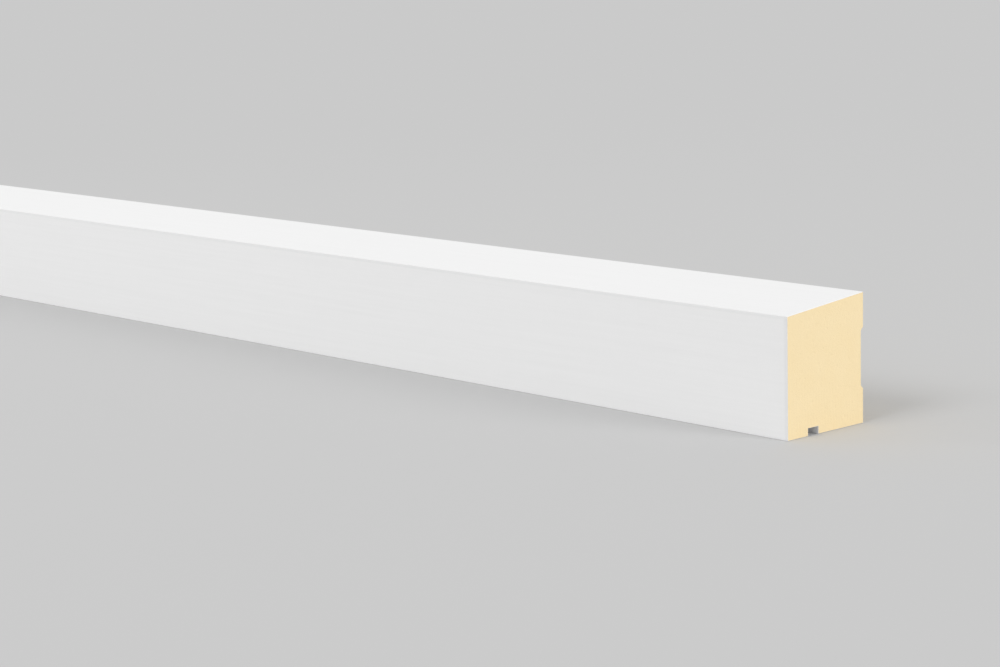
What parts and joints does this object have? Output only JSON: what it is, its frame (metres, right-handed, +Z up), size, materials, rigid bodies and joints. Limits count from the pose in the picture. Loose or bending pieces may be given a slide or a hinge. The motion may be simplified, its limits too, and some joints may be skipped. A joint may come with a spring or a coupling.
{
  "type": "facade moulding",
  "caption": "Straight length of facade moulding: rigid foam core with a thin white coating, sloping top, drip groove below and a shallow adhesive pocket in the bare back.",
  "frame": {"origin": "middle of the underside: halfway along the run, halfway between front and back, on the plane that the moulding rests on", "axes": "+X along the run, towards the right-hand end as seen from the front; +Y from the front to the wall side; +Z up"},
  "size_m": [1, 0.06, 0.07],
  "materials": {
    "cream_foam": "rigid closed-cell foam, cream, sawn at the two ends and bare on the back",
    "white_coating": "smooth matt white primer coating"
  },
  "bodies": {
    "root": {"foam_core": "cream_foam", "coating": "white_coating"}
  },
  "joints": []
}
